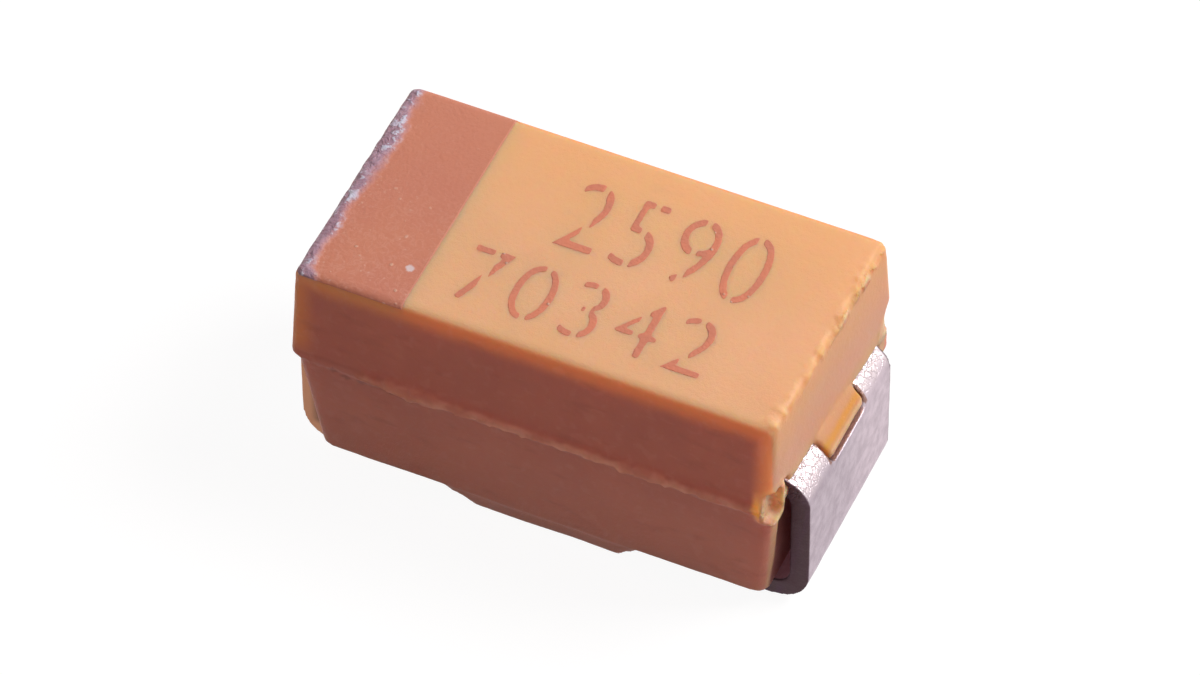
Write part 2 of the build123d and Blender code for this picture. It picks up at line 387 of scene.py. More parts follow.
class Finish(Shading):
    """A material being made, with the place on the piece in millimetres."""

    def __init__(self, name, constants):
        self.material = bpy.data.materials.new(name)
        self.material.use_nodes = True
        super().__init__(self.material.node_tree, "Principled BSDF", constants)
        self.place = self.node(
            "VectorMath",
            {"operation": "SCALE"},
            {0: self.node("TexCoord", {}, {}, "Object"), "Scale": 1 / MM},
        )
        self.x, self.y, self.z = (
            self.node("SeparateXYZ", {}, {0: self.place}, axis) for axis in "XYZ"
        )

    def moved(self, offset, stretch=(1, 1, 1)):
        """The place, stretched and moved, so that patterns don't line up."""
        return self.node(
            "Mapping", {}, {"Vector": self.place, "Location": offset, "Scale": stretch}
        )

    def noise(self, scale, detail=3, seed=0, stretch=(1, 1, 1), warp=0):
        """Cloudy noise from 0 to 1, with that many lumps to a millimetre."""
        return self.node(
            "TexNoise",
            {},
            {
                "Vector": self.moved((seed * 7.3, seed * 3.1, seed * 5.7), stretch),
                "Scale": scale,
                "Detail": detail,
                "Distortion": warp,
            },
        )

    def cells(self, scale, seed=0, feature="F1", warp=0.0):
        """Distance to the nearest of scattered points, or to the cells' edges."""
        place = self.moved((seed * 4.9, seed * 8.3, seed * 2.7))
        if warp:
            clouds = self.node(
                "TexNoise", {}, {"Vector": place, "Scale": scale * 1.3, "Detail": 3.0}, "Color"
            )
            wander = self.node("VectorMath", {"operation": "SCALE"}, {0: clouds, "Scale": warp})
            place = self.node("VectorMath", {"operation": "ADD"}, {0: place, 1: wander})
        return self.node(
            "TexVoronoi", {"feature": feature}, {"Vector": place, "Scale": scale}, "Distance"
        )

    def relief(self, height, depth, under=None):
        """Bump of a height from 0 to 1, that many millimetres deep."""
        sockets = {"Height": height, "Distance": depth * MM}
        if under:
            sockets["Normal"] = under
        return self.node("Bump", {}, sockets)


# ---- Finishes ----
RESIN = {
    "Specular IOR Level": 0.28,
    "Subsurface Weight": 0.8,
    "Subsurface Radius": (1.0, 0.42, 0.14),
    "Subsurface Scale": 0.20 * MM,
    "Emission Strength": 1.0,
}


INK = {
    "Specular IOR Level": 0.3,
    "Subsurface Weight": 0.25,
    "Subsurface Radius": (1.0, 0.4, 0.25),
    "Subsurface Scale": 0.05 * MM,
}


def rubbed_edge(finish):
    """Mask of the rubbed strip along the band's outer edge."""
    top = finish.z.rising(CASE_HIGH.z - 0.12, CASE_HIGH.z - 0.03)
    ragged = finish.noise(5, 5, seed=1) - 0.5
    wide = finish.y.near(0.30, 0.45) * 0.035 + finish.y.rising(-0.70, -0.77) * 0.06
    inner = finish.x + ragged * 0.15 - wide
    return inner.rising(BAND_LOW.x + 0.075, BAND_LOW.x) * top


def crumbled_edge(finish):
    """Mask of the crumbled edge at the top's other end."""
    crumbs = finish.noise(9, 4, seed=2) - 0.5
    edge = CASE_HIGH.x - 0.095
    crumbled = (finish.x + crumbs * 0.12).rising(edge - 0.02, edge + 0.01)
    level = finish.z + crumbs * 0.10
    return crumbled * level.rising(CASE_HIGH.z - 0.08, CASE_HIGH.z - 0.05)


def resin_finish(colours, sizes):
    """Moulded epoxy, cloudy and translucent, with painted shade deepening the walls and a painted
    glow by their lit edges, pale where it is broken.
    """
    finish = Finish("mould_resin", RESIN)
    x, y, z = finish.x, finish.y, finish.z
    clouds = finish.noise(1.6, 4, seed=3)
    grain = finish.noise(34, 5, seed=4)
    fine = finish.noise(120, 3, seed=5)
    base = finish.blend(clouds.rising(0.35, 0.7), colours.resin, colours.resin_pale)
    base = finish.blend(y.rising(-0.2, 0.8) * 0.6, base, colours.resin_back)

    # Walls: painted shade makes them deeper in colour than the top. A painted glow, standing for
    # light scattered through the resin, makes them orange where they meet the lit faces.
    top_inset = (CASE_HIGH.z - sizes.parting) * tan(sizes.upper_draft)
    half_wide, half_long = sizes.wide / 2 - top_inset, sizes.long / 2 - top_inset
    below = (sizes.parting - z).most(0)
    deep = finish.noise(2.0, 4, seed=14).rising(0.3, 0.7)
    wall = finish.blend(deep, colours.shaded_resin_side, colours.resin_side_deep)
    uneven = z + (finish.noise(9, 4, seed=19) - 0.5) * 0.05
    near_top = uneven.rising(CASE_HIGH.z - 0.17, CASE_HIGH.z - 0.03)
    front = (abs(y) + below * 0.10).rising(half_wide - 0.03, half_wide + 0.004)
    anode_end = (sizes.shift - x + below * 0.10).rising(half_long - 0.03, half_long + 0.004)
    near_end = abs(x - sizes.shift).rising(half_long - 0.14, half_long) * front
    near_end = near_end.most(abs(y).rising(half_wide - 0.14, half_wide) * anode_end)
    near_end = near_end * z.rising(0.95, 1.15)
    wall = finish.blend(z.rising(0.95, 0.5) * 0.3, wall, colours.flash)
    wall = finish.blend(near_top.most(near_end) * 0.8, wall, colours.resin_glow)
    # Painted shade: the long walls and the anode end take the shaded wall tone.
    side = front.most(anode_end)
    base = finish.blend(side, base, wall)
    # Painted glow near the lit edges, given out as emission below.
    edge_glow = near_top * 0.5
    edge_glow = edge_glow.most(near_end * (0.25 + x.rising(0, 0.1) * 0.8)) * side
    end = (x - sizes.shift + below * 0.10).rising(half_long - 0.012, half_long + 0.006)
    end = end * (1 - side)
    end_tone = finish.blend(z.rising(1.0, 1.15), (0.76, 0.39, 0.20), colours.resin_end)
    end_tone = finish.blend(z.rising(1.15, 1.6), end_tone, colours.resin_end_top)
    base = finish.blend(end * 0.85, base, end_tone)

    # Smudges and hairline scratches on the top.
    top = z.rising(CASE_HIGH.z - 0.03, CASE_HIGH.z - 0.01)
    smudge = finish.noise(2.4, 5, seed=6).rising(0.62, 0.78) * top
    scratch = finish.noise(5, 3, seed=7, stretch=(1, 14, 1), warp=1.2).rising(0.71, 0.76)
    base = finish.blend(smudge * 0.14 + scratch * top * 0.16, base, (0.36, 0.30, 0.24))

    # Flash: a paler crumbly line along the parting, with a painted shadow line above it, and a
    # painted amber glow, standing for light through thin resin, where it is thin.
    wander = (finish.noise(4, 4, seed=15) - 0.5) * 0.06
    seam = (z + wander).near(sizes.parting, 0.05) * abs(y).rising(0.79, 0.815)
    seam = seam * x.rising(-1.18, -1.08)
    flaky = finish.noise(7, 5, seed=16).rising(0.38, 0.60)
    base = finish.blend(seam * (0.2 + flaky * 0.7), base, colours.flash)
    tips = abs(y).rising(0.826, 0.844) * z.near(sizes.parting, 0.15) * (0.4 + flaky * 0.6)
    base = finish.blend(tips * 0.9, base, colours.flash)
    shadow = (z + wander).near(sizes.parting + 0.055, 0.03) * side
    base = finish.blend(shadow * 0.15, base, (0.36, 0.06, 0.04))
    corner = x.rising(1.33, 1.37) * abs(y).rising(0.58, 0.66) * z.near(0.99, 0.18)
    cheek = corner * x.rising(1.405, 1.38) * abs(y).rising(0.80, 0.82)
    base = finish.blend(corner * 0.8, base, colours.resin_dust)
    # Painted glow: the thin flash wall beside the notch is painted amber.
    base = finish.blend(cheek * 0.9, base, colours.resin_amber)
    speckle = finish.noise(18, 3, seed=17).rising(0.54, 0.66)
    base = finish.blend(corner * speckle * 0.35, base, (0.30, 0.17, 0.06))
    # Window tabs: golden toward their outer edge, with a painted highlight in pale resin along
    # it.
    tab = abs(x).rising(1.47, 1.50) * abs(y).rising(0.32, 0.25) * z.near(0.96, 0.14)
    streak = finish.noise(6, 4, seed=18, stretch=(1, 0.4, 1))
    across = abs(x) + (streak - 0.5) * 0.05
    base = finish.blend(tab * 0.8, base, colours.resin_tab)
    base = finish.blend(tab * across.near(1.548, 0.032) * 0.9, base, colours.resin_gilt)
    base = finish.blend(tab * abs(x).rising(1.562, 1.575) * 0.8, base, colours.resin_pale)

    # Painted shade: the walls of the gaps round the terminals are painted dark where shade falls.
    gap = abs(x).rising(1.33, 1.38) * abs(y).rising(0.70, 0.66) * z.rising(0.89, 0.84)
    base = finish.blend(gap * 0.92, base, (0.28, 0.085, 0.085))

    rubbed = rubbed_edge(finish) * (1 - side)
    crumbled = crumbled_edge(finish)
    base = finish.blend(rubbed * 0.75, base, colours.scuff)
    base = finish.blend(crumbled * 0.7, base, colours.resin_dust)
    olive = finish.noise(10, 2, seed=8).rising(0.50, 0.56) * crumbled
    base = finish.blend(olive * 0.85, base, colours.resin_olive)
    # Small pits in the front wall, above the anode end of the flash.
    pits = 0
    for pit_x, pit_z in ((-1.28, 0.93), (-1.20, 0.90), (-1.10, 0.905), (-0.92, 0.90)):
        away = abs(x - pit_x) + abs(z - pit_z) * 1.4 + (grain - 0.5) * 0.05
        pits = away.rising(0.055, 0.01) + pits
    base = finish.blend(pits * side * 0.3, base, (0.16, 0.04, 0.04))
    flecks = finish.cells(17, seed=11).rising(0.10, 0.03)
    base = finish.blend(flecks * 0.25, base, colours.resin_dust)
    stains = finish.noise(7, 5, seed=27, stretch=(0.5, 1, 1.6)).rising(0.55, 0.72) * side
    base = finish.blend(stains * 0.16, base, (0.45, 0.13, 0.09))
    pale = finish.noise(13, 4, seed=35, warp=0.6).rising(0.52, 0.70) * side
    base = finish.blend(pale * 0.14, base, (0.98, 0.46, 0.34))

    finish.set("Base Color", base)
    # Painted glow: emission stands for light scattered through the resin near the walls' lit
    # edges and on the flash tips. It is strongest on the thin amber flash by the notch.
    glow = finish.blend(edge_glow, BLACK, (0.17, 0.062, 0.020))
    glow = finish.blend(tips * (1 - corner), glow, (0.065, 0.036, 0.028))
    finish.set("Emission Color", finish.blend(cheek * 0.8, glow, (0.30, 0.13, 0.02)))
    rough = 0.46 + grain * 0.16 - rubbed * 0.22 + crumbled.most(seam) * 0.25
    finish.set("Roughness", rough)
    skin = finish.relief(grain * 0.6 + fine * 0.4, 0.005)
    broken = (rubbed * 0.6).most(crumbled * 0.8).most(corner * 0.5).most(seam)
    finish.set("Normal", finish.relief(finish.noise(20, 6, seed=12) * broken, 0.045, skin))
    return finish.material


def band_finish(colours):
    """Polarity band: matt ink with filler flecks, rubbed to a glassy strip at its edge, with
    painted glints.
    """
    finish = Finish("band_ink", INK)
    x, y = finish.x, finish.y
    clouds = finish.noise(2.2, 5, seed=21)
    grain = finish.noise(40, 4, seed=22)
    base = finish.blend(clouds.rising(0.3, 0.75), colours.ink, colours.ink_pale)
    front = y.rising(0.5, -0.7)
    flecks = finish.cells(10, seed=23, warp=0.04).rising(0.14, 0.06) * (0.3 + front * 0.7)
    base = finish.blend(flecks * 0.5, base, (0.95, 0.60, 0.45))
    dust = finish.cells(23, seed=28).rising(0.20, 0.08) * (0.25 + front * 0.75)
    dust = dust * finish.noise(3, 4, seed=29).rising(0.42, 0.60)
    base = finish.blend(dust * 0.4, base, (0.90, 0.56, 0.44))
    veins = finish.noise(14, 3, seed=30, warp=1.2).near(0.5, 0.05) * (0.3 + front * 0.7)
    base = finish.blend(veins * 0.22, base, (0.92, 0.46, 0.36))
    base = finish.blend(y.rising(0, 0.8) * 0.35, base, (0.84, 0.29, 0.175))
    # One pale grain of filler, near the band's inner front corner.
    away = finish.node(
        "VectorMath", {"operation": "DISTANCE"}, {0: finish.place, 1: (-0.92, -0.50, 1.65)},
        "Value",
    )
    away = away + (grain - 0.5) * 0.03
    base = finish.blend(away.rising(0.033, 0.018) * 0.85, base, (0.94, 0.72, 0.70))

    rubbed = rubbed_edge(finish)
    glassy = finish.noise(21, 3, seed=24, warp=0.4)
    clusters = finish.noise(3.5, 3, seed=25).rising(0.42, 0.56)
    near_corner = y.rising(-0.55, -0.74)
    chips = glassy.rising(0.53, 0.62) * clusters.most(near_corner * 0.8)
    scuff = finish.blend(
        finish.noise(9, 5, seed=26).rising(0.35, 0.65) * 0.6, colours.scuff, colours.scuff_dark
    )
    base = finish.blend(rubbed * 0.8, base, scuff)
    # Painted highlight: the glassy chips in the rubbed strip are painted near-white as glints.
    base = finish.blend(rubbed * chips, base, colours.glint)

    finish.set("Base Color", base)
    finish.set("Roughness", 0.5 + grain * 0.15 - rubbed * 0.28)
    skin = finish.relief(grain * 0.7 + flecks * 0.5, 0.006)
    finish.set("Normal", finish.relief(glassy * rubbed, 0.03, skin))
    return finish.material


def digit_finish(colours):
    """Printed digits: the band's ink, thinner, with a few pale grains."""
    finish = Finish("digit_ink", INK)
    grain = finish.noise(45, 4, seed=31)
    base = finish.blend(
        finish.noise(6, 4, seed=32).rising(0.35, 0.7), colours.digit_ink, (0.76, 0.24, 0.15)
    )
    flecks = finish.cells(12, seed=33).rising(0.16, 0.05)
    base = finish.blend(flecks * 0.6, base, (0.88, 0.62, 0.46))
    finish.set("Base Color", base)
    finish.set("Roughness", 0.45 + grain * 0.2)
    finish.set("Normal", finish.relief(grain + flecks, 0.006))
    return finish.material


def plating_finish(colours):
    """Tinned strip: matt lilac-grey faces, bright crazed bends with a painted highlight, dark
    sheared edges, with painted shade, reflection and glow.
    """
    finish = Finish("tinned_strip", {"Specular IOR Level": 0.5, "Emission Strength": 1.0})
    x, y, z = finish.x, finish.y, finish.z
    mottle = finish.noise(14, 5, seed=41)
    grain = finish.noise(70, 4, seed=42)
    base = finish.blend(mottle.rising(0.3, 0.7), colours.plating, (0.44, 0.375, 0.42))

    # Painted shade: the strip's front part, toward -Y, is painted darker.
    front_shade_tone = finish.blend(mottle.rising(0.3, 0.7), (0.45, 0.39, 0.44), (0.36, 0.305, 0.35))
    base = finish.blend(y.rising(0.35, -0.15), base, front_shade_tone)
    bend = (z + (mottle - 0.5) * 0.10).rising(0.86, 0.98) * abs(x).rising(1.42, 1.48)
    craze = finish.cells(21, seed=43, feature="DISTANCE_TO_EDGE", warp=0.05)
    cracks = craze.rising(0.12, 0.01) * finish.noise(9, 5, seed=44).rising(0.36, 0.62) * bend
    # Bends: crazed plating, painted bright as a highlight too.
    base = finish.blend(bend * 0.95, base, colours.plating_bright)
    base = finish.blend(cracks * 0.7, base, (0.50, 0.42, 0.46))

    # Sheared edges of the strip and of its window. The anode's are painted warm, a painted
    # reflection of the warm resin.
    half, in_window = CATHODE_HIGH.y, abs(y).rising(0.27, 0.262)
    sheared = abs(y).rising(half - 0.02, half - 0.006)
    rim = abs(x) + (grain - 0.5) * 0.02
    sill = z.near(0.855, 0.022) * in_window * rim.rising(1.594, 1.586)
    cheek = in_window * abs(y).rising(0.236, 0.243) * z.rising(0.87, 0.88)
    cheek = cheek * abs(x).rising(1.594, 1.586)
    cut = finish.blend(x.rising(-0.5, 0.5), colours.cut_metal_warm, colours.cut_metal)
    purple = finish.noise(9, 4, seed=45, stretch=(1, 1, 0.3)).rising(0.45, 0.65) * x.rising(0, 1)
    cut = finish.blend(purple * 0.5, cut, (0.10, 0.045, 0.085))
    # Painted highlight: lighter purple high on the cathode's sheared edges, toward the shoulder.
    cut = finish.blend(purple * z.rising(0.82, 1.0) * 0.5, cut, (0.17, 0.11, 0.16))
    base = finish.blend(sill.most(cheek) * 0.85, base, (0.26, 0.13, 0.09))
    inner_half = abs(x).rising(1.56, 1.50) * z.rising(0.10, 0.16)
    cut = finish.blend(inner_half * 0.5, cut, (0.06, 0.02, 0.03))
    base = finish.blend(sheared, base, cut)
    finish.set("Base Color", base)
    # Painted light: a faint warm emission on the strip's hidden faces stands for light bounced
    # from the resin close by.
    hidden = abs(x).rising(1.50, 1.47) * z.rising(0.90, 0.86) * (1 - sheared)
    finish.set("Emission Color", finish.blend(hidden, BLACK, (0.04, 0.013, 0.016)))
    finish.set("Metallic", 1 - sheared * 0.45)
    finish.set("Roughness", 0.42 + mottle * 0.14 - bend * 0.10 + sheared * 0.15)
    skin = finish.relief(grain, 0.003)
    finish.set("Normal", finish.relief(craze.rising(0, 0.14) * bend, 0.006, skin))
    return finish.material


def powder_finish(name, first, second, roughness, metallic, scale):
    """A grainy inner material: two mottled tones and a bumpy skin."""
    finish = Finish(name, {"Metallic": metallic})
    grain = finish.noise(scale, 6, seed=len(name))
    base = finish.blend(grain.rising(0.3, 0.7), first, second)
    finish.set("Base Color", base)
    finish.set("Roughness", roughness + grain * 0.15)
    finish.set("Normal", finish.relief(grain, 0.01))
    return finish.material


# Each inner node's finish: name, two tones, roughness, metal and grains to a millimetre.
INNER_FINISHES = {
    "tantalum_pellet": (
        "sintered_tantalum", (0.16, 0.16, 0.17), (0.27, 0.26, 0.26), 0.6, 0.7, 60,
    ),
    "riser_wire": ("tantalum_wire", (0.42, 0.42, 0.44), (0.55, 0.54, 0.55), 0.3, 1.0, 25),
    "insulating_washer": ("ptfe", (0.80, 0.80, 0.78), (0.88, 0.88, 0.86), 0.4, 0.0, 12),
    "manganese_dioxide_coat": (
        "manganese_dioxide", (0.012, 0.011, 0.012), (0.04, 0.035, 0.035), 0.75, 0.0, 45,
    ),
    "graphite_coat": ("graphite", (0.03, 0.03, 0.032), (0.07, 0.07, 0.072), 0.5, 0.2, 35),
    "silver_coat": ("silver_paint", (0.60, 0.60, 0.60), (0.75, 0.75, 0.74), 0.4, 0.8, 40),
    "conductive_adhesive": (
        "silver_adhesive", (0.50, 0.50, 0.49), (0.66, 0.65, 0.63), 0.45, 0.7, 30,
    ),
}


# ---- Modelling helpers ----
def select_only(piece):
    """The piece is active, and nothing else is selected."""
    bpy.ops.object.select_all(action="DESELECT")
    piece.select_set(True)
    bpy.context.view_layer.objects.active = piece


@contextmanager
def editing(piece):
    """Edit mode on one piece."""
    select_only(piece)
    bpy.ops.object.mode_set(mode="EDIT")
    yield
    bpy.ops.object.mode_set(mode="OBJECT")


def pick(kind, test):
    """Selects in edit mode the corners, edges or faces whose places pass a test."""
    data = bpy.context.object.data
    mesh = bmesh.from_edit_mesh(data)
    bpy.ops.mesh.select_mode(type=kind)
    bpy.ops.mesh.select_all(action="DESELECT")
    elements = {"VERT": mesh.verts, "EDGE": mesh.edges, "FACE": mesh.faces}[kind]
    for element in elements:
        corners = [element] if kind == "VERT" else element.verts
        element.select_set(test(*(corner.co for corner in corners)))
    mesh.select_flush_mode()
    bmesh.update_edit_mesh(data)


def block(name, low, high):
    """A box between two corners, as a start for a piece."""
    low, high = Vector(low), Vector(high)
    bpy.ops.object.select_all(action="DESELECT")
    bpy.ops.mesh.primitive_cube_add(size=1, location=(low + high) / 2)
    piece = bpy.context.object
    piece.name = name
    piece.scale = high - low
    bpy.ops.object.transform_apply()
    return piece


def drafted_block(name, middle, long, wide, start, end, inset_x, inset_y, slide=0.0):
    """A box from a start to an end level, narrowed at the end and slid there along X."""
    low, high = sorted((start, end))
    piece = block(name, (middle - long / 2, -wide / 2, low), (middle + long / 2, wide / 2, high))
    with editing(piece):
        pick("FACE", lambda *corners: all(abs(corner.z - end) < TINY for corner in corners))
        bpy.ops.transform.resize(
            value=(1 - 2 * inset_x / long, 1 - 2 * inset_y / wide, 1),
            center_override=(middle, 0, end),
        )
        bpy.ops.transform.translate(value=(slide, 0, 0))
    return piece


def round_edges(piece, radius, test, segments=4):
    """Bevels the edges whose two ends pass the test."""
    with editing(piece):
        pick("EDGE", test)
        bpy.ops.mesh.bevel(offset=radius, segments=segments, affect="EDGES")


def modify(piece, kind, **settings):
    """Adds a modifier and applies it."""
    select_only(piece)
    modifier = piece.modifiers.new(kind.lower(), kind)
    for name, setting in settings.items():
        setattr(modifier, name, setting)
    bpy.ops.object.modifier_apply(modifier=modifier.name)


def carve(piece, cutter):
    """Takes a closed cutter out of the piece, and deletes it."""
    modify(piece, "BOOLEAN", operation="DIFFERENCE", object=cutter, solver="EXACT")
    bpy.data.objects.remove(cutter)


def fuse(name, pieces, voxel, smoothing):
    """Joins overlapping closed shells and remeshes them into one skin."""
    select_only(pieces[0])
    for piece in pieces:
        piece.select_set(True)
    if len(pieces) > 1:
        bpy.ops.object.join()
    fused = bpy.context.object
    fused.name = name
    modify(fused, "REMESH", mode="VOXEL", voxel_size=voxel)
    modify(fused, "SMOOTH", factor=0.5, iterations=smoothing)
    return fused


def weigh(piece, name, weight):
    """A vertex group whose weights come from a function of the place."""
    group = piece.vertex_groups.new(name=name)
    for vertex in piece.data.vertices:
        amount = weight(vertex.co)
        if amount > 0:
            group.add([vertex.index], min(amount, 1), "REPLACE")
    return group.name


def roughen(piece, name, weight, scale, depth, middle=0.5, basis="ORIGINAL_PERLIN"):
    """Pushes the surface in and out by noise of that scale, where the weights allow it."""
    texture = bpy.data.textures.new(name, "CLOUDS")
    texture.noise_scale = scale
    texture.noise_depth = 4
    texture.noise_basis = basis
    modify(
        piece,
        "DISPLACE",
        texture=texture,
        texture_coords="LOCAL",
        vertex_group=weigh(piece, name, weight),
        strength=depth,
        mid_level=middle,
    )


def scatter_lumps(chance, start, end, count, spread, sizes):
    """Small lumps strewn along a line, to be fused with what they lie in."""
    start, end = Vector(start), Vector(end)
    lumps = []
    for number in range(count):
        place = start.lerp(end, (number + chance.random()) / count)
        place += Vector(chance.uniform(-reach, reach) for reach in spread)
        bpy.ops.mesh.primitive_ico_sphere_add(
            subdivisions=2, radius=chance.uniform(*sizes), location=place
        )
        lumps.append(bpy.context.object)
    return lumps


def finish_piece(piece, material, nodes):
    """Brings a piece to metres, gives it its material and seats it on the part."""
    piece.scale = (MM, MM, MM)
    select_only(piece)
    bpy.ops.object.transform_apply()
    bpy.ops.object.shade_smooth()
    piece.vertex_groups.clear()
    piece.data.materials.clear()
    piece.data.materials.append(material)
    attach(piece, "root")
    if nodes:
        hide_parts(*nodes)


# ---- Operators ----
class OBJECT_OT_mould_case(bpy.types.Operator):
    """Moulds the resin case: two drafted halves, base pad, flash, tabs and worn edges"""

    bl_idname = "capacitor.mould_case"
    bl_label = "Mould the case"

    def halves(self, sizes):
        """The two drafted halves and the pad between the feet."""
        top = CASE_HIGH.z
        upper_inset = (top - sizes.parting) * tan(sizes.upper_draft)
        upper = drafted_block(
            "upper_half", sizes.shift, sizes.long, sizes.wide,
            sizes.parting, top, upper_inset, upper_inset,
        )
        # The ends aren't quite square: their corners sit in or out along X.
        for end, side, level, reach in (
            (1, -1, sizes.parting, -0.025), (1, 1, sizes.parting, 0.042),
            (1, -1, top, 0.01), (1, 1, top, 0.03),
            (-1, -1, sizes.parting, -0.018), (-1, -1, top, -0.022), (-1, 1, top, -0.015),
        ):
            self.lean(upper, end, side, level, reach, 0.02 if side > 0 and level == top else 0)
        round_edges(upper, sizes.upright, lambda a, b: abs(a.z - b.z) > sizes.edge)
        round_edges(upper, sizes.edge, lambda a, b: min(a.z, b.z) > top - TINY)
        round_edges(
            upper, sizes.parting_edge,
            lambda a, b: max(a.z, b.z) < sizes.parting + TINY and max(a.x, b.x) < -1.3,
        )

        lower_inset = (sizes.parting - sizes.underside) * tan(sizes.lower_draft)
        lower_wide = sizes.wide - 2 * sizes.side_step
        lower = drafted_block(
            "lower_half", sizes.shift / 2, sizes.long - 2 * sizes.end_step, lower_wide,
            sizes.parting + sizes.edge, sizes.underside, lower_inset, lower_inset,
        )
        self.lean(lower, -1, -1, sizes.parting + sizes.edge, -0.03)
        round_edges(lower, sizes.corner, lambda a, b: abs(a.z - b.z) > sizes.corner)
        round_edges(
            lower, sizes.lower_edge, lambda a, b: max(a.z, b.z) < sizes.underside + TINY
        )
        channel_back = CATHODE_HIGH.x - STRIP - sizes.channel_depth
        channel_half = CATHODE_HIGH.y + sizes.channel_side
        for end in (-1, 1):
            near, far = sorted((end * channel_back, end * CASE_HIGH.x * 1.1))
            carve(lower, block(
                "channel", (near, -channel_half, -1), (far, channel_half, sizes.channel_top),
            ))
        return [upper, lower, self.pad(sizes, lower_wide - 2 * lower_inset)]

    def lean(self, half, end, side, level, reach, spread=0.0):
        """Moves one corner of a mould half along X and Y."""
        with editing(half):
            pick("VERT", lambda corner: (
                corner.x * end > 0 and corner.y * side > 0 and abs(corner.z - level) < TINY
            ))
            bpy.ops.transform.translate(value=(reach, spread, 0))

    def pad(self, sizes, underside_wide):
        """The pad between the feet, its two ends sloping down to a flat near the board."""
        overlap = 0.04
        rise = 1 + overlap / (sizes.underside - CASE_LOW.z)
        slopes = rise * (sizes.pad_anode + sizes.pad_cathode)
        slide = rise * (sizes.pad_anode - sizes.pad_cathode) / 2
        pad = drafted_block(
            "base_pad", sizes.pad_middle - slide, sizes.pad_long + slopes,
            underside_wide - 2 * sizes.pad_step, sizes.underside + overlap, CASE_LOW.z,
            slopes / 2, rise * sizes.pad_side, slide,
        )
        round_edges(pad, sizes.pad_edge, lambda a, b: max(a.z, b.z) < CASE_LOW.z + TINY)
        return pad

    def flash(self, sizes, halves):
        """Ridge along the parting line, lumps beside the terminals and tabs in the windows."""
        ridge_long = sizes.long / 2 - sizes.lump
        ridge_level = sizes.parting + 0.015
        ridge = block(
            "flash_ridge",
            (-1.12, -sizes.wide / 2 - FLASH_REACH, ridge_level - sizes.ridge / 2),
            (
                sizes.shift + ridge_long, sizes.wide / 2 + FLASH_REACH,
                ridge_level + sizes.ridge / 2,
            ),
        )
        shells = [
            ridge,
            self.lump(sizes, -1, sizes.front_lump_tall, sizes.front_lump_rise, FLASH_REACH),
            self.lump(sizes, 1, sizes.back_lump_tall, sizes.back_lump_rise, 0.006),
        ]
        self.break_front(sizes, (shells[1], *halves))
        half_window = sizes.window / 2 - 0.01
        tab_end = CATHODE_HIGH.x - sizes.tab_reach
        tab_low = sizes.channel_top - 0.02
        tab = drafted_block(
            "window_tabs", 0, 2 * tab_end, 2 * half_window,
            tab_low + (CATHODE_HIGH.z - tab_low) / 3, CATHODE_HIGH.z, sizes.tab_bevel, 0,
        )
        with editing(tab):
            pick("FACE", lambda *corners: all(
                corner.z < CATHODE_HIGH.z - TINY for corner in corners
            ))
            bpy.ops.mesh.extrude_region_move(
                TRANSFORM_OT_translate={"value": (0, 0, (tab_low - CATHODE_HIGH.z) / 3)}
            )
        round_edges(tab, CORNER_ROUND, lambda a, b: abs(a.z - b.z) > TINY)
        return shells + [tab]

    def ball(self, place, radius):
        """A cutter for hollows."""
        bpy.ops.object.select_all(action="DESELECT")
        bpy.ops.mesh.primitive_uv_sphere_add(
            segments=32, ring_count=16, radius=radius, location=place
        )
        bpy.ops.object.transform_apply()
        return bpy.context.object

    def lump(self, sizes, side, tall, rise, reach):
        """A lump of flash round a corner of the cathode end."""
        tip_x = sizes.shift + sizes.long / 2 + reach
        tip_y = side * (sizes.wide / 2 + reach)
        low_y, high_y = sorted((tip_y, tip_y - side * sizes.lump_deep))
        low_z, high_z = (sizes.parting + rise + half * tall / 2 for half in (-1, 1))
        lump = block("flash_lump", (tip_x - sizes.lump, low_y, low_z), (tip_x, high_y, high_z))
        round_edges(lump, CORNER_ROUND, lambda a, b: True)
        return lump

    def break_front(self, sizes, shells):
        """Breaks the front lump to a notch, and hollows the corners over both lumps."""
        tip_x = sizes.shift + sizes.long / 2
        front = -sizes.wide / 2
        low_z, high_z = (
            sizes.parting + sizes.front_lump_rise + half * sizes.front_lump_tall / 2
            for half in (-1, 1)
        )
        for shell in shells:
            notch = block(
                "notch", (tip_x + FLASH_REACH - sizes.notch_long, front - 0.1, low_z + 0.03),
                (tip_x + 0.1, front - FLASH_REACH + sizes.notch_deep, high_z - 0.01),
            )
            round_edges(notch, 0.025, lambda a, b: True)
            carve(shell, notch)
            carve(shell, self.ball((tip_x - 0.03, -CATHODE_HIGH.y - 0.03, 1.03), 0.055))
        carve(shells[1], self.ball((tip_x + 0.04, front - 0.04, high_z + 0.05), 0.08))
        # The far corner is hollowed over its lump.
        carve(shells[1], self.ball((tip_x + 0.16, -front + 0.02, 1.05), 0.20))

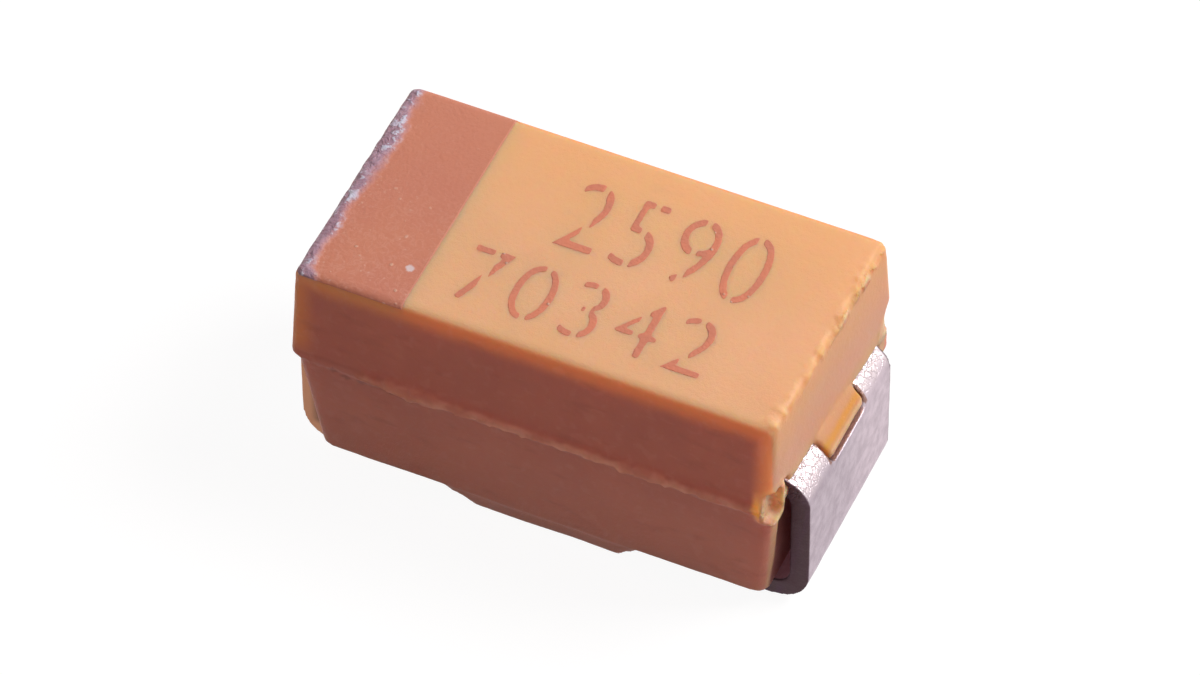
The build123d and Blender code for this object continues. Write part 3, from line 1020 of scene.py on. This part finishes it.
    def crumbs(self, sizes):
        """Small lumps of broken resin along the far top edge and the front flash."""
        chance = Random(5)
        inset = (CASE_HIGH.z - sizes.parting) * tan(sizes.upper_draft)
        edge_x = sizes.shift + sizes.long / 2 - inset - 0.032
        half = sizes.wide / 2 - inset - 0.05
        level = CASE_HIGH.z - 0.026
        lumps = scatter_lumps(
            chance, (edge_x, -half, level), (edge_x + 0.02, half, level), 84,
            (0.03, 0, 0.010), (0.018, 0.036),
        )
        front = -sizes.wide / 2 - FLASH_REACH
        level = sizes.parting + 0.035
        for start, end, count, lump_sizes in (
            (-1.08, -0.92, 8, (0.016, 0.026)),
            (-0.92, -0.62, 24, (0.028, 0.042)),
            (-0.62, 0.72, 66, (0.018, 0.032)),
            (0.73, 0.79, 5, (0.028, 0.038)),
            (0.80, 1.36, 28, (0.016, 0.028)),
        ):
            lumps += scatter_lumps(
                chance, (start, front, level), (end, front, level), count, (0, 0.005, 0.018),
                lump_sizes,
            )
        return lumps

    def wear(self, case, sizes):
        """Chips, crumbling and unevenness along the edges, pressed into the skin."""
        top = CASE_HIGH.z
        left, right = BAND_LOW.x - 0.02, sizes.shift + sizes.long / 2 - 0.03

        def from_line(place, x, z, reach):
            return 1 - Vector((place.x - x, place.z - z)).length / reach

        roughen(
            case, "chips", lambda place: from_line(place, left, top, 0.15),
            0.09, sizes.wear, 0.72,
        )
        roughen(
            case, "crumbs", lambda place: from_line(place, right, top, 0.11),
            0.04, sizes.crumble, 0.66,
        )
        seam = sizes.parting
        roughen(
            case, "seam",
            lambda place: (1 - abs(place.z - seam) / 0.06) * (abs(place.y) > 0.79),
            0.06, sizes.seam_wear,
        )

        def beside_strips(place):
            return (1 - abs(place.z - 0.93) / 0.2) * (abs(place.x) > 1.33) * (abs(place.y) > 0.66)

        roughen(case, "lumps", beside_strips, 0.045, 0.02)
        roughen(case, "walls", lambda place: (top - 0.06 - place.z) * 4, 0.35, 0.012)

    def execute(self, context):
        dressing = context.scene.dressing
        sizes = millimetres(dressing.case)
        halves = self.halves(sizes)
        shells = halves + self.flash(sizes, halves[:2]) + self.crumbs(sizes)
        case = fuse("case_moulding", shells, sizes.voxel, 1)
        self.wear(case, sizes)
        finish_piece(case, resin_finish(dressing.colours, sizes), ["moulded_case"])
        return {"FINISHED"}


class OBJECT_OT_print_band(bpy.types.Operator):
    """Prints the polarity band as a film lifted from the moulded skin"""

    bl_idname = "capacitor.print_band"
    bl_label = "Print the polarity band"

    def execute(self, context):
        dressing = context.scene.dressing
        sizes = millimetres(dressing.marks)
        case = bpy.data.objects["case_moulding"]
        select_only(case)
        bpy.ops.object.duplicate()
        band = bpy.context.object
        band.name = "band_film"
        band.scale = (1 / MM,) * 3
        bpy.ops.object.transform_apply()
        lowest = CASE_HIGH.z - 0.07
        widest = BAND_HIGH.x + 0.05
        with editing(band):
            pick("FACE", lambda *corners: any(
                corner.z < lowest or corner.x > widest for corner in corners
            ))
            bpy.ops.mesh.delete(type="FACE")
            bpy.ops.mesh.select_all(action="SELECT")
            bpy.ops.mesh.bisect(
                plane_co=(BAND_HIGH.x, 0, 0), plane_no=(1, 0, 0), clear_outer=True
            )
            bpy.ops.mesh.select_all(action="SELECT")
            bpy.ops.mesh.bisect(
                plane_co=(0, 0, CASE_HIGH.z - 0.026), plane_no=(0, 0, 1), clear_inner=True
            )
        modify(band, "SOLIDIFY", thickness=sizes.film, offset=1)
        finish_piece(band, band_finish(dressing.colours), ["polarity_band"])
        return {"FINISHED"}


class OBJECT_OT_print_digits(bpy.types.Operator):
    """Prints two rows of plain stencilled digits on the top"""

    bl_idname = "capacitor.print_digits"
    bl_label = "Print the digits"

    def row(self, which, sizes):
        """A row of digits stretched to its place, with a bridge through each one."""
        words, left, right, base, tall = (
            getattr(sizes, f"{which}_{what}") for what in ("row", "left", "right", "base", "tall")
        )
        bpy.ops.object.select_all(action="DESELECT")
        bpy.ops.object.text_add()
        row = bpy.context.object
        row.name = which + "_row"
        row.data.body = words
        row.data.size = 1
        row.data.space_character = 1.12
        row.data.extrude = 0.04
        row.data.offset = -0.016
        bpy.ops.object.convert(target="MESH")
        row = bpy.context.object
        with editing(row):
            bpy.ops.mesh.select_all(action="SELECT")
            bpy.ops.mesh.remove_doubles(threshold=TINY)
        corners = [vertex.co for vertex in row.data.vertices]
        low = Vector(min(corner[axis] for corner in corners) for axis in range(3))
        high = Vector(max(corner[axis] for corner in corners) for axis in range(3))
        wide = (right - left) / (high.x - low.x)
        high_ratio = tall / (high.y - low.y)
        row.scale = (wide, high_ratio, 1)
        row.location = (left - low.x * wide, base - low.y * high_ratio, 0)
        bpy.ops.object.transform_apply()
        pitch = (right - left) / (len(words) - 0.18)
        for count in range(len(words)):
            middle = left + pitch * (count + 0.41)
            carve(row, block(
                "bridge",
                (middle - sizes.bridge / 2, base - 0.1, -1),
                (middle + sizes.bridge / 2, base + tall + 0.1, 1),
            ))
        return row

    def execute(self, context):
        dressing = context.scene.dressing
        sizes = millimetres(dressing.marks)
        rows = [self.row(which, sizes) for which in ("upper", "lower")]
        digits = fuse("digit_print", rows, sizes.voxel, 12)
        roughen(digits, "blots", lambda place: 1, 0.03, 0.012)
        thick = max(vertex.co.z for vertex in digits.data.vertices)
        select_only(digits)
        digits.scale.z = sizes.film / (2 * thick)
        digits.location.z = CASE_HIGH.z + sizes.film / 2
        bpy.ops.object.transform_apply()
        finish_piece(digits, digit_finish(dressing.colours), [])
        return {"FINISHED"}


class OBJECT_OT_form_terminals(bpy.types.Operator):
    """Forms both terminals from strip: foot, heel, upright, shoulder, window and inner tail"""

    bl_idname = "capacitor.form_terminals"
    bl_label = "Form the terminals"

    def turn(self, sizes, centre_x, centre_z, quarter):
        """Bends the strip's end by a quarter turn about an axis across it."""
        bpy.ops.mesh.spin(
            steps=sizes.bend_steps, angle=-quarter * pi / 2,
            center=(centre_x, 0, centre_z), axis=(0, 1, 0),
        )

    def push(self, x=0.0, z=0.0):
        """Lengthens the strip from its selected end."""
        bpy.ops.mesh.extrude_region_move(TRANSFORM_OT_translate={"value": (x, 0, z)})

    def narrow(self, width, x, z):
        """Steps the strip's end in to a narrower width."""
        bpy.ops.mesh.extrude_region_move(TRANSFORM_OT_translate={"value": (-TINY, 0, 0)})
        bpy.ops.transform.resize(
            value=(1, width / (2 * CATHODE_HIGH.y), 1), center_override=(x, 0, z)
        )

    def strip(self, name, sizes, tail_width):
        """Foot, heel, upright, shoulder and crossbar. The inner end stays selected."""
        outer, top, half = CATHODE_HIGH.x, CATHODE_HIGH.z, CATHODE_HIGH.y
        piece = block(
            name, (outer - sizes.foot, -half, 0), (outer - sizes.heel, half, sizes.strip)
        )
        select_only(piece)
        bpy.ops.object.mode_set(mode="EDIT")
        pick("FACE", lambda *corners: all(
            corner.x > outer - sizes.heel - TINY for corner in corners
        ))
        self.turn(sizes, outer - sizes.heel, sizes.heel, -1)
        self.push(z=top - sizes.shoulder - sizes.heel)
        self.turn(sizes, outer - sizes.shoulder, top - sizes.shoulder, -1)
        root = CASE_HIGH.x + sizes.window_inset - sizes.window_anchor
        crossbar_inner = root - sizes.crossbar
        self.push(x=crossbar_inner - (outer - sizes.shoulder))
        self.narrow(tail_width, crossbar_inner, top - sizes.strip / 2)
        return piece, crossbar_inner, root

    def finish_strip(self, piece, sizes, root, case_sizes):
        """Cuts the window, rounds the stamped edges and crinkles the shoulder."""
        bpy.ops.object.mode_set(mode="OBJECT")
        half_window = case_sizes.window / 2
        cutter = block(
            "window", (root, -half_window, sizes.window_floor),
            (CATHODE_HIGH.x + 0.1, half_window, CATHODE_HIGH.z + 0.1),
        )
        round_edges(
            cutter, sizes.window_corner,
            lambda a, b: max(a.z, b.z) < sizes.window_floor + TINY and abs(a.x - b.x) > 0.05,
            8,
        )
        carve(piece, cutter)
        piece = fuse(piece.name, [piece], sizes.voxel, 2)
        shoulder = sizes.window_floor
        roughen(
            piece, "crinkle",
            lambda place: (place.z - shoulder) * 12 if abs(place.x) > 1.42 else 0,
            0.035, sizes.crinkle, basis="VORONOI_F2_F1",
        )
        roughen(piece, "dings", lambda place: 1, 0.12, 0.006)
        return piece

    def cathode(self, sizes, case_sizes):
        """The cathode's strip drops past the pellet's end to the paddle under it."""
        piece, crossbar_inner, root = self.strip("cathode_lead", sizes, sizes.paddle)
        outside = sizes.riser_bend + sizes.strip
        riser_inside, paddle_top = GLUE_HIGH.x, GLUE_LOW.z
        riser_outside = riser_inside + sizes.strip
        self.push(x=riser_outside + sizes.riser_bend - crossbar_inner)
        low = CATHODE_HIGH.z - outside
        self.turn(sizes, riser_outside + sizes.riser_bend, low, -1)
        self.push(z=paddle_top + sizes.riser_bend - low)
        self.turn(sizes, riser_inside - sizes.riser_bend, paddle_top + sizes.riser_bend, 1)
        self.push(x=CATHODE_LOW.x - (riser_inside - sizes.riser_bend))
        return self.finish_strip(piece, sizes, root, case_sizes)

    def anode(self, sizes, case_sizes):
        """The anode's strip runs straight in to the weld tab over the wire."""
        piece, crossbar_inner, root = self.strip("anode_lead", sizes, sizes.weld_tab)
        self.push(x=-ANODE_HIGH.x - crossbar_inner)
        piece = self.finish_strip(piece, sizes, root, case_sizes)
        select_only(piece)
        piece.scale.x = -1
        bpy.ops.object.transform_apply()
        with editing(piece):
            bpy.ops.mesh.select_all(action="SELECT")
            bpy.ops.mesh.normals_make_consistent(inside=False)
        return piece

    def execute(self, context):
        dressing = context.scene.dressing
        sizes = millimetres(dressing.terminals)
        case_sizes = millimetres(dressing.case)
        # The window's root is set from the upper half's length at the parting line.
        sizes.window_inset = case_sizes.long / 2 - CASE_HIGH.x
        material = plating_finish(dressing.colours)
        cathode = self.cathode(sizes, case_sizes)
        finish_piece(cathode, material, ["cathode_terminal"])
        anode = self.anode(sizes, case_sizes)
        finish_piece(anode, material, ["anode_terminal"])
        return {"FINISHED"}


class OBJECT_OT_finish_inner_pieces(bpy.types.Operator):
    """Gives the pieces sealed inside the case their own finishes"""

    bl_idname = "capacitor.finish_inner_pieces"
    bl_label = "Finish the inner pieces"

    def execute(self, context):
        for node, finish in INNER_FINISHES.items():
            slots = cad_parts[node].data.materials
            slots.clear()
            slots.append(powder_finish(*finish))
        return {"FINISHED"}


class OBJECT_OT_set_stage(bpy.types.Operator):
    """Sets the pale floor, the white surroundings, the soft lamps and the camera"""

    bl_idname = "capacitor.set_stage"
    bl_label = "Set the stage"

    def lamp(self, name, toward, far, size, light, tint):
        """An area lamp that gives a facing surface at the origin that much light."""
        lamp = bpy.data.lights.new(name, "AREA")
        lamp.size = size
        lamp.color = tint
        lamp.energy = pi * pi * light * far**2
        holder = bpy.data.objects.new(name, lamp)
        holder.location = Vector(toward).normalized() * far
        holder.rotation_euler = holder.location.to_track_quat("Z", "Y").to_euler()
        bpy.context.scene.collection.objects.link(holder)

    def world(self, ambient):
        """White where the camera or a reflection sees it, dim and warm as light."""
        world = bpy.data.worlds.new("studio")
        world.use_nodes = True
        shading = Shading(world.node_tree, "Background", {})
        seen = shading.ray("Camera").most(shading.ray("Glossy"))
        seen = seen.most(shading.ray("Transmission"))
        dim = (ambient, ambient * 0.80, ambient * 0.80)
        shading.set("Color", shading.blend(seen, dim, WHITE))
        bpy.context.scene.world = world

    def floor(self):
        """A pale floor, white to the camera apart from the object's shadow."""
        bpy.ops.object.select_all(action="DESELECT")
        bpy.ops.mesh.primitive_plane_add(size=0.5, location=(0, 0, -0.002 * MM))
        floor = bpy.context.object
        floor.name = "floor"
        bpy.ops.object.transform_apply()
        material = bpy.data.materials.new("pale_floor")
        material.use_nodes = True
        shading = Shading(material.node_tree, "Principled BSDF", {
            "Roughness": 0.9, "Specular IOR Level": 0.0, "Emission Color": (*WHITE, 1),
        })
        camera = shading.ray("Camera")
        shading.set("Base Color", shading.blend(camera, (0.26, 0.20, 0.20), (0.12, 0.12, 0.12)))
        shading.set("Emission Strength", camera.most(shading.ray("Glossy")) * 0.93)
        floor.data.materials.append(material)

    def camera(self, stage):
        """The camera, looking down on the corner between the front and the cathode end."""
        azimuth, elevation, roll = 0.4283067, 0.8546450, -0.0060393
        lens = bpy.data.cameras.new("camera")
        lens.lens = stage.lens
        lens.sensor_width = 36
        lens.clip_start = 1 * MM
        lens.clip_end = 1
        camera = bpy.data.objects.new("camera", lens)
        bpy.context.scene.collection.objects.link(camera)
        camera.location = Vector((13.0353, -28.4761, 36.947)) * MM
        aim = Euler((pi / 2 - elevation, 0, azimuth)).to_quaternion()
        camera.rotation_mode = "QUATERNION"
        camera.rotation_quaternion = aim @ Quaternion((0, 0, 1), roll)
        bpy.context.scene.camera = camera

    def execute(self, context):
        stage = context.scene.dressing.stage
        context.scene.view_settings.view_transform = "Standard"
        self.world(stage.ambient)
        self.floor()
        self.lamp("key_lamp", (0.55, 0.36, 0.75), 0.06, 0.03, stage.key, (1.0, 0.98, 0.96))
        self.lamp("fill_lamp", (-0.2, -0.9, 0.25), 0.06, 0.05, stage.fill, (1.0, 0.82, 0.80))
        self.camera(stage)
        return {"FINISHED"}


class VIEW3D_PT_capacitor(bpy.types.Panel):
    """Lists the dressing's steps and settings"""

    bl_label = "Capacitor"
    bl_space_type = "VIEW_3D"
    bl_region_type = "UI"
    bl_category = "Capacitor"

    def draw(self, context):
        for operator in OPERATORS:
            self.layout.operator(operator.bl_idname)
        dressing = context.scene.dressing
        for group in (
            dressing.case, dressing.terminals, dressing.marks, dressing.colours, dressing.stage
        ):
            section = self.layout.box()
            for name in group.bl_rna.properties.keys():
                if name not in ("rna_type", "name"):
                    section.prop(group, name)


GROUPS = (CaseSizes, TerminalSizes, MarkSizes, FinishColours, StageSettings, DressingSettings)
OPERATORS = (
    OBJECT_OT_mould_case,
    OBJECT_OT_print_band,
    OBJECT_OT_print_digits,
    OBJECT_OT_form_terminals,
    OBJECT_OT_finish_inner_pieces,
    OBJECT_OT_set_stage,
)


def register():
    for group in GROUPS:
        bpy.utils.register_class(group)
    for operator in OPERATORS:
        bpy.utils.register_class(operator)
    bpy.utils.register_class(VIEW3D_PT_capacitor)
    bpy.types.Scene.dressing = PointerProperty(type=DressingSettings)


def unregister():
    del bpy.types.Scene.dressing
    bpy.utils.unregister_class(VIEW3D_PT_capacitor)
    for operator in reversed(OPERATORS):
        bpy.utils.unregister_class(operator)
    for group in reversed(GROUPS):
        bpy.utils.unregister_class(group)


def main():
    register()
    bpy.ops.capacitor.mould_case()
    bpy.ops.capacitor.print_band()
    bpy.ops.capacitor.print_digits()
    bpy.ops.capacitor.form_terminals()
    bpy.ops.capacitor.finish_inner_pieces()
    bpy.ops.capacitor.set_stage()


if __name__ == "__main__":
    main()
